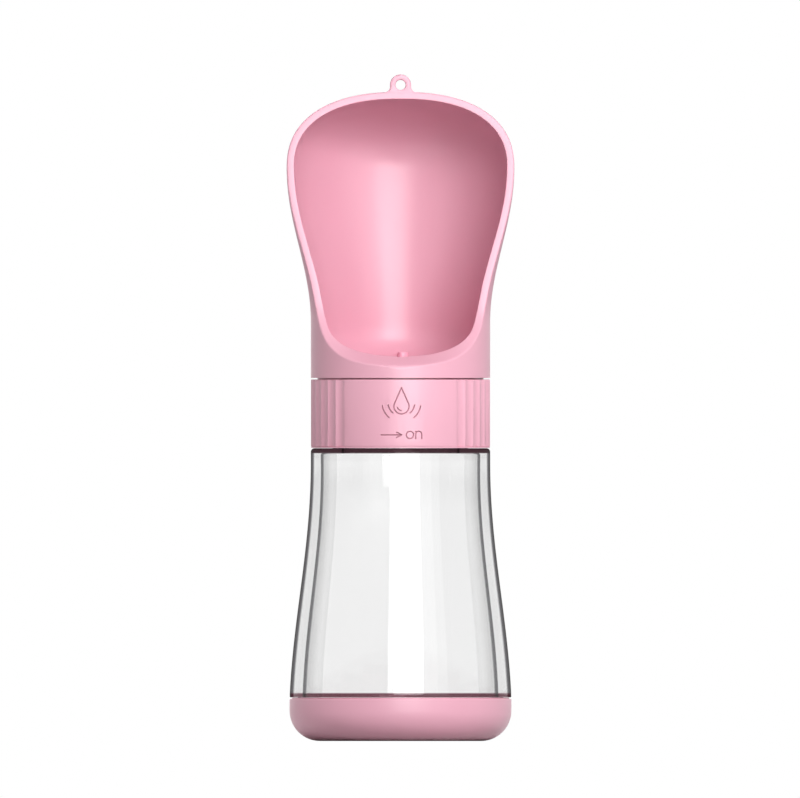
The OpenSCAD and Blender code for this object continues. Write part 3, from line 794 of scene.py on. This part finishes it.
def ring():
    """Fluted ring with its engraved marks, the ribs that drive the valve disc and the stop lug."""
    edge, turns, chamfer = RING_EDGE_R, 4, 0.15
    rebate_r, rebate_z = FLANGE_R + RUN_GAP, FLANGE_TOP_Z + FACE_GAP
    samples = ring_outline()
    columns = []
    for a, r in samples:
        profile = [(RING_BORE_R + chamfer, RING_TOP_Z)]
        for k in range(turns + 1):
            b = math.pi / 2 * k / turns
            profile.append((r - edge * (1 - math.sin(b)), RING_TOP_Z - edge * (1 - math.cos(b))))
        for k in range(turns + 1):
            b = math.pi / 2 * k / turns
            profile.append((r - edge * (1 - math.cos(b)), RING_Z + edge * (1 - math.sin(b))))
        profile += [(rebate_r + SEAL_LIP_W, RING_Z), (rebate_r + SEAL_LIP_W, RING_Z - SEAL_LIP_H),
                    (rebate_r, RING_Z - SEAL_LIP_H), (rebate_r, rebate_z), (RING_BORE_R, rebate_z),
                    (RING_BORE_R, RING_TOP_Z - chamfer)]
        turn = math.radians(a)
        columns.append([(p * math.cos(turn), p * math.sin(turn), z) for p, z in profile])
    n = len(columns[0])
    points = [p for column in columns for p in column]
    faces = []
    for i in range(len(columns)):
        for k in range(n):
            a, b = i * n, (i + 1) % len(columns) * n
            faces.append([a + k, a + (k + 1) % n, b + (k + 1) % n, b + k])
    body = make_object("fluted_ring", points, faces)
    carve(body, "DIFFERENCE", [groove(path) for path in mark_paths()])
    key_z, key_top_z, deep_r = CAP_TOP_Z + RUN_GAP, SEAL_Z - 2 * FACE_GAP, RING_BORE_R + 0.6
    keys = [block(key_z, key_top_z, RING_BORE_R - KEY_REACH, deep_r, a, KEY_HALF_A) for a in KEY_ANGLES]
    keys.append(block(CAP_TOP_Z - LUG_DROP, key_z + 0.5, RING_BORE_R - LUG_REACH, deep_r, LUG_A, LUG_HALF_A))
    carve(body, "UNION", keys)
    pick_marks(body)
    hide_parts("control_ring")
    return body


def pick_marks(ring_obj):
    """Puts the engraved strokes on the ring's front panel on its second material slot, which gets a darker
    pink as painted shade in the recesses.
    """
    dress(ring_obj, None, None)
    panel_half_w = SHELL_R * math.sin(math.radians(PANEL_HALF_A - 3))
    for face in ring_obj.data.polygons:
        x, y, z = face.center / MM
        in_panel = y < 0 and abs(x) < panel_half_w and RING_Z + 1 < z < RING_TOP_Z - 1
        if in_panel and SHELL_R - MARK_DEPTH - 0.01 < math.hypot(x, y) < SHELL_R - 0.03:
            face.material_index = 1


# ---- scoop -------------------------------------------------------------------------------------

RIM_END_Z = LIP_Z + RIM_ARC_R * (math.cos(RIM_START_A) - math.sin(RIM_LEAN))
RIM_END_Y = LIP_Y + RIM_ARC_R * (math.cos(RIM_LEAN) - math.sin(RIM_START_A))


def rim_y(z):
    """Side view of the rim: an arc from the lip, then a straight line that leans back."""
    if z > RIM_END_Z:
        return RIM_END_Y + (z - RIM_END_Z) * math.tan(RIM_LEAN)
    a = math.acos(min(1, math.cos(RIM_START_A) - (z - LIP_Z) / RIM_ARC_R))
    return LIP_Y + RIM_ARC_R * (math.sin(a) - math.sin(RIM_START_A))


def flare(z):
    """0 at the collar's width and 1 at the widest level."""
    return 0 if z < WIDE_Z - FLARE_H else (1 + math.cos(math.pi * (WIDE_Z - z) / FLARE_H)) / 2


class Skin:
    """One side of the scoop's wall. A spot on it is (angle from the right in degrees, climb)."""

    def __init__(self, inner):
        self.inner = inner
        self.fillet_climb = math.pi / 4 * (FILLET_W + FILLET_H) if inner else 0
        self.low_z = FLOOR_Z if inner else COLLAR_Z

    def level(self, climb):
        """Height and inset at a climb from the lowest edge, which goes up through the fillet."""
        if climb < self.fillet_climb:
            a = math.pi / 2 * climb / self.fillet_climb
            return FLOOR_Z + FILLET_H * (1 - math.cos(a)), BOWL_WALL + FILLET_W * (1 - math.sin(a))
        z = self.low_z + (FILLET_H if self.inner else 0) + climb - self.fillet_climb
        return z, BOWL_WALL if self.inner else 0

    def climb(self, z):
        """The climb at which level gives this height."""
        if self.inner and z < FLOOR_Z + FILLET_H:
            return self.fillet_climb * math.acos(1 - (z - FLOOR_Z) / FILLET_H) / (math.pi / 2)
        return self.fillet_climb + z - self.low_z - (FILLET_H if self.inner else 0)

    def half_axes(self, climb):
        """Half width and half depth of the oval at a climb."""
        z, inset = self.level(climb)
        share = flare(z)
        return mix(SHELL_R, BOWL_HALF_W, share) - inset, mix(SHELL_R, BOWL_BACK, share) - inset

    def spot(self, angle, climb):
        w, d = self.half_axes(climb)
        a = math.radians(angle)
        return Vector((w * math.cos(a), d * math.sin(a), self.level(climb)[0]))

    def rim_climb(self, front_a):
        """Climb at which the rim cuts this side, at an angle round from the front."""
        low, high = self.climb(self.low_z if self.inner else LIP_Z), self.climb(WIDE_Z)
        for _ in range(40):
            middle = (low + high) / 2
            above = rim_y(self.level(middle)[0]) + self.half_axes(middle)[1] * math.cos(front_a) > 0
            low, high = (low, middle) if above else (middle, high)
        return (low + high) / 2

    def start_angle(self, climb):
        """Angle of the rim at a climb."""
        d = self.half_axes(climb)[1]
        return math.degrees(math.asin(max(-1, min(1, rim_y(self.level(climb)[0]) / d))))

    def side_ends(self):
        """Where each ray of one side starts on the rim and ends, from the lip's front upwards."""
        total = LIP_RAYS + BACK_RAYS
        bend_a = math.radians(BEND_A)
        bend = self.rim_climb(bend_a)
        ends = []
        for i in range(total + 1):
            climb = self.rim_climb(bend_a * i / total)
            start = (-90 + math.degrees(bend_a) * i / total, climb)
            if i <= LIP_RAYS:
                ends.append((start, (-90 + 180 * i / LIP_RAYS, 0)))
            else:
                ends.append((start, (90, bend * (i - LIP_RAYS) / BACK_RAYS)))
        for i in range(1, FLANK_RAYS + 1):
            climb = mix(bend, self.climb(WIDE_Z), i / FLANK_RAYS)
            ends.append(((self.start_angle(climb), climb), (90, climb)))
        return ends

    def side_ray(self, ends, side):
        (a0, c0), (a1, c1) = ends
        out = []
        for k in range(RAY_STEPS + 1):
            p = self.spot(mix(a0, a1, k / RAY_STEPS), mix(c0, c1, k / RAY_STEPS))
            out.append(Vector((side * p.x, p.y, p.z)))
        return out

    def dome_ray(self, angle):
        """A ray from the rim over the domed top to the back, at an angle in the front view."""
        w, d = self.half_axes(self.climb(WIDE_Z))
        h = DOME_H - (BOWL_WALL if self.inner else 0)
        c, s = math.cos(angle), math.sin(angle)
        r = ((abs(c) / w) ** DOME_POWER + (abs(s) / h) ** DOME_POWER) ** (-1 / DOME_POWER)
        a0 = math.asin(rim_y(WIDE_Z + r * s) / d)
        out = []
        for k in range(RAY_STEPS + 1):
            a = mix(a0, math.pi / 2, k / RAY_STEPS)
            out.append(Vector((r * math.cos(a) * c, d * math.sin(a), WIDE_Z + r * math.cos(a) * s)))
        return out

    def rays(self):
        ends = self.side_ends()
        out = [self.side_ray(e, 1) for e in ends]
        out += [self.dome_ray(math.pi * i / DOME_STEPS) for i in range(1, DOME_STEPS)]
        return out + [self.side_ray(e, -1) for e in reversed(ends)]


def rounded_corner(corner, ray_way, cut_way, radius, steps=5):
    """Points of a soft edge between a ray and the cut face, from the ray to the cut."""
    a = corner + ray_way * radius
    b = corner + cut_way * radius
    out = []
    for k in range(steps + 1):
        t = k / steps
        out.append(a * (1 - t) ** 2 + corner * 2 * t * (1 - t) + b * t ** 2)
    return out


def with_soft_rim(outer_ray, inner_ray, front):
    """One line over the wall: up the outside, over the rounded rim and down the inside."""
    cut = (inner_ray[0] - outer_ray[0]).normalized()
    outer_r, inner_r = mix(*OUTER_EDGE_R, front), mix(*INNER_EDGE_R, front)
    sides = []
    for ray, cut_way, radius in ((outer_ray, cut, outer_r), (inner_ray, -cut, inner_r)):
        ray_way = (ray[1] - ray[0]).normalized()
        soft = rounded_corner(ray[0], ray_way, cut_way, radius)
        length = sum((q - p).length for p, q in zip(ray, ray[1:]))
        # The rest of the ray is moved back evenly, so that its first points make room for the edge
        rest = [along_ray(ray, radius + (length - radius) * k / RAY_STEPS) for k in range(1, RAY_STEPS + 1)]
        sides.append((soft, rest))
    (outer_soft, outer_rest), (inner_soft, inner_rest) = sides
    return list(reversed(outer_rest)) + outer_soft + list(reversed(inner_soft)) + inner_rest


def along_ray(ray, distance):
    """The point at a distance along a ray."""
    gone = 0
    for p, q in zip(ray, ray[1:]):
        step = (q - p).length
        if step > 0 and gone + step >= distance - 1e-9:
            return p.lerp(q, min(1, (distance - gone) / step))
        gone += step
    return ray[-1].copy()


def scoop_wall():
    """The scoop's wall as one skin, with the bowl's inside on the second material slot, which gets a darker
    pink as painted shade.
    """
    outer, inner = Skin(False).rays(), Skin(True).rays()
    side_count = LIP_RAYS + BACK_RAYS + FLANK_RAYS + 1
    lines = []
    for i, (o, n) in enumerate(zip(outer, inner)):
        from_front = min(i, len(outer) - 1 - i)
        front = (1 + math.cos(math.pi * min(1, from_front / (0.6 * side_count)))) / 2
        lines.append(with_soft_rim(o, n, front))
    n = len(lines[0])
    points = [p for row in lines for p in row]
    faces, slots = [], []
    for i in range(len(lines) - 1):
        for k in range(n - 1):
            a = i * n + k
            faces.append([a, a + 1, a + n + 1, a + n])
            slots.append(1 if k >= n - 1 - RAY_STEPS else 0)
    shell = make_object("drinking_scoop", points, faces, slots=slots)
    dress(shell, None, None)
    for face in shell.data.polygons:
        if face.normal.z > 0.9 and abs(face.center.z / MM - FLOOR_Z) < 0.01:
            face.material_index = 1
    return shell


def loop_plate():
    """The hanging loop as a flat plate with soft edges, and the cutter for its hole."""
    front_y = rim_y(APEX_Z)
    fillet_z = APEX_Z + LOOP_FILLET_R - 0.3
    fillet_x = math.sqrt((LOOP_R + LOOP_FILLET_R) ** 2 - (fillet_z - LOOP_Z) ** 2)
    foot_z = APEX_Z - BOWL_WALL + 0.4
    meet_a = math.atan2(fillet_z - LOOP_Z, fillet_x)
    rows = []
    soft = LOOP_EDGE_R
    for k in range(12):  # six rows round the front edge and six round the back edge
        a = math.pi * (k % 6) / 5 / 2
        inset = soft * (1 - math.sin(a) if k < 6 else 1 - math.cos(a))
        back = soft * (1 - math.cos(a)) if k < 6 else LOOP_T - soft * (1 - math.sin(a))
        r, fillet_r = LOOP_R - inset, LOOP_FILLET_R + inset
        outline = []
        for j in range(33):
            b = mix(meet_a, math.pi - meet_a, j / 32)
            outline.append((r * math.cos(b), LOOP_Z + r * math.sin(b)))
        for side in (-1, 1):
            arc = []
            for j in range(1, 9):
                b = mix(-math.pi + meet_a, -math.pi / 2, j / 8)
                arc.append((fillet_x + fillet_r * math.cos(b), fillet_z + fillet_r * math.sin(b)))
            arc.append((fillet_x, foot_z))
            if side < 0:
                outline += [(-x, z) for x, z in arc]
            else:
                outline += list(reversed(arc))
        rows.append([(x, front_y + back, z) for x, z in outline])
    plate = loft("loop", rows)
    half_t, past_r = LOOP_T / 2, LOOP_HOLE_R + 1.4
    hole = lathe("hole", rounded([
        (0, -half_t - 1), (past_r, -half_t - 1), (past_r, -half_t), (LOOP_HOLE_R, -half_t, LOOP_FLARE_R),
        (LOOP_HOLE_R, half_t, LOOP_FLARE_R), (past_r, half_t), (past_r, half_t + 1), (0, half_t + 1),
    ]), steps=40)
    hole.data.transform(Matrix.Rotation(math.pi / 2, 4, "X"))
    hole.data.transform(Matrix.Translation((0, (front_y + half_t) * MM, LOOP_Z * MM)))
    return plate, hole


def scoop():
    """Drinking scoop with its collar, spigot, pivot post, outlet and hanging loop."""
    body = scoop_wall()
    hollow_z = FLOOR_Z - FLOOR_T
    carve(body, "DIFFERENCE", [disc("hollow", SPIGOT_BORE_R, COLLAR_Z - 1, hollow_z, steps=LATHE_STEPS)])
    spigot = lathe("spigot", rounded([
        (SPIGOT_R, SPIGOT_Z, 0.2), (SPIGOT_R, COLLAR_Z + 1), (SPIGOT_BORE_R, COLLAR_Z + 1),
        (SPIGOT_BORE_R, SPIGOT_Z, 0.2),
    ], closed=True), closed=True)
    post = lathe("post", rounded([
        (0, DECK_Z + 0.2), (TENON_R, DECK_Z + 0.2, 0.3), (TENON_R, CAP_TOP_Z), (POST_R, CAP_TOP_Z, 0.2),
        (POST_R, hollow_z, 0.5), (POST_R + 1, hollow_z + 1), (0, hollow_z + 1),
    ]), steps=64)
    nozzle = lathe("nozzle", rounded([
        (0, hollow_z + 1), (OUTLET_WALL_R, hollow_z + 1), (OUTLET_WALL_R, OUTLET_TOP_Z, 0.35),
        (0, OUTLET_TOP_Z),
    ]), steps=40)
    nozzle.data.transform(Matrix.Translation((OUTLET[0] * MM, OUTLET[1] * MM, 0)))
    plate, hole = loop_plate()
    carve(body, "UNION", [spigot, post, nozzle, plate])
    outlet = disc("outlet", OUTLET_R, SPIGOT_Z, OUTLET_TOP_Z + 2, *OUTLET, steps=32)
    pilot = disc("pilot", SCREW_HOLE_R, DECK_Z - 1, DECK_Z + SCREW_HOLE_DEPTH, steps=32)
    carve(body, "DIFFERENCE", [hole, outlet, pilot])
    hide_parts("scoop")
    return body


# ---- put together ------------------------------------------------------------------------------


def pieces():
    """Builds the pieces, and gives every piece and every solid that is kept its material."""
    pink = moulded_plastic("pink_shell", *PINK)
    # Painted shade: the bowl's inside gets a darker pink than the outside
    bowl_painted_shade = moulded_plastic("pink_bowl_painted_shade", *BOWL_PAINTED_SHADE, rough=(0.28, 0.33))
    # Painted shade: the engraved strokes get a darker, greyer pink
    mark_painted_shade = moulded_plastic("pink_marks_painted_shade", *MARK_PAINTED_SHADE, rough=(0.5, 0.6))
    inner_pink = moulded_plastic("pink_inner", *PINK, rough=(0.42, 0.5))
    soft = silicone("clear_silicone")
    bright = steel("stainless")
    for build, body, materials in (
        (base_cup, "base", [pink]), (ring, "ring", [pink, mark_painted_shade]), (scoop, "head", [pink, bowl_painted_shade]),
    ):
        piece = build()
        dress(piece, *materials)
        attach(piece, body)
    clear = bottle()
    dress(clear, clear_plastic("clear_shell"))
    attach(clear, "bottle")
    for node in ("screw_cap", "valve_disc"):
        dress(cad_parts[node], inner_pink)
    for node in ("base_gasket", "neck_gasket", "deck_gasket", "valve_gasket", "pivot_oring"):
        dress(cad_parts[node], soft)
    for node in ("pivot_screw", "pivot_washer"):
        dress(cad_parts[node], bright)


WORLD_DIM = 0.26
FLOOR_DIM = 0.4
FLOOR_HALF_W = 6
FLOOR_DROP = 0.0001
VIEW_WIDTH = 0.264
CAMERA_SPOT = (-0.000165, -1.5, 0.11286)


def see_white(tree, dim):
    """A level that is 1 to the camera, in gloss and through glass, and dim as a light."""
    path = tree.nodes.new("ShaderNodeLightPath")
    seen = path.outputs["Is Camera Ray"]
    for name in ("Is Glossy Ray", "Is Transmission Ray"):
        either = tree.nodes.new("ShaderNodeMath")
        either.operation = "MAXIMUM"
        tree.links.new(seen, either.inputs[0])
        tree.links.new(path.outputs[name], either.inputs[1])
        seen = either.outputs[0]
    level = tree.nodes.new("ShaderNodeMapRange")
    level.inputs["To Min"].default_value = dim
    level.inputs["To Max"].default_value = 1
    tree.links.new(seen, level.inputs["Value"])
    return level.outputs[0]


def surroundings():
    """White background and a pale floor that keeps the shadow."""
    world = bpy.data.worlds.new("studio")
    bpy.context.scene.world = world
    world.use_nodes = True
    back = world.node_tree.nodes["Background"]
    back.inputs["Color"].default_value = (1, 1, 1, 1)
    world.node_tree.links.new(see_white(world.node_tree, WORLD_DIM), back.inputs["Strength"])

    mesh = bpy.data.meshes.new("floor")
    far = FLOOR_HALF_W
    mesh.from_pydata([(-far, -far, 0), (far, -far, 0), (far, far, 0), (-far, far, 0)], [], [(0, 1, 2, 3)])
    floor = bpy.data.objects.new("floor", mesh)
    floor.location.z = -FLOOR_DROP
    bpy.context.collection.objects.link(floor)
    paper = bpy.data.materials.new("paper")
    paper.use_nodes = True
    tree = paper.node_tree
    level = see_white(tree, FLOOR_DIM)
    tree.links.new(level, tree.nodes["Principled BSDF"].inputs["Base Color"])
    tree.nodes["Principled BSDF"].inputs["Roughness"].default_value = 0.9
    tree.nodes["Principled BSDF"].inputs["Specular IOR Level"].default_value = 0
    floor.data.materials.append(paper)


def lamp(name, place, target, size, power, glossy=True, diffuse=True):
    """A rectangular lamp that the camera doesn't see."""
    data = bpy.data.lights.new(name, "AREA")
    data.shape = "RECTANGLE"
    data.size, data.size_y = size
    data.energy = power
    obj = bpy.data.objects.new(name, data)
    obj.location = place
    obj.rotation_euler = (Vector(target) - Vector(place)).to_track_quat("-Z", "Y").to_euler()
    obj.visible_camera = False
    obj.visible_glossy = glossy
    obj.visible_diffuse = diffuse
    bpy.context.collection.objects.link(obj)


def lights():
    """Soft lamps from the front, the left and behind, and tall soft boxes that only show in the gloss."""
    middle = (0, 0, 0.12)
    lamp("key", (0.345, -0.815, 0.56), middle, (0.5, 0.5), 9.6, glossy=False)
    lamp("fill", (-0.95, 0.22, 0.12), middle, (0.6, 0.6), 2.6, glossy=False)
    lamp("back", (-0.10, 0.95, 0.50), middle, (0.6, 0.6), 6, glossy=False)
    lamp("soft_box", (0.143, -0.955, 0.379), middle, (0.57, 0.95), 10, diffuse=False)
    lamp("side_box", (0.60, -0.80, 0.379), middle, (0.50, 0.95), 1.5, diffuse=False)


def camera():
    """The photo's view: from the front, without perspective."""
    data = bpy.data.cameras.new("camera")
    data.type = "ORTHO"
    data.ortho_scale = VIEW_WIDTH
    obj = bpy.data.objects.new("camera", data)
    obj.location = CAMERA_SPOT
    obj.rotation_euler = (math.pi / 2, 0, 0)
    bpy.context.collection.objects.link(obj)
    bpy.context.scene.camera = obj


bpy.context.scene.view_settings.view_transform = "Standard"
camera()
surroundings()
lights()
pieces()
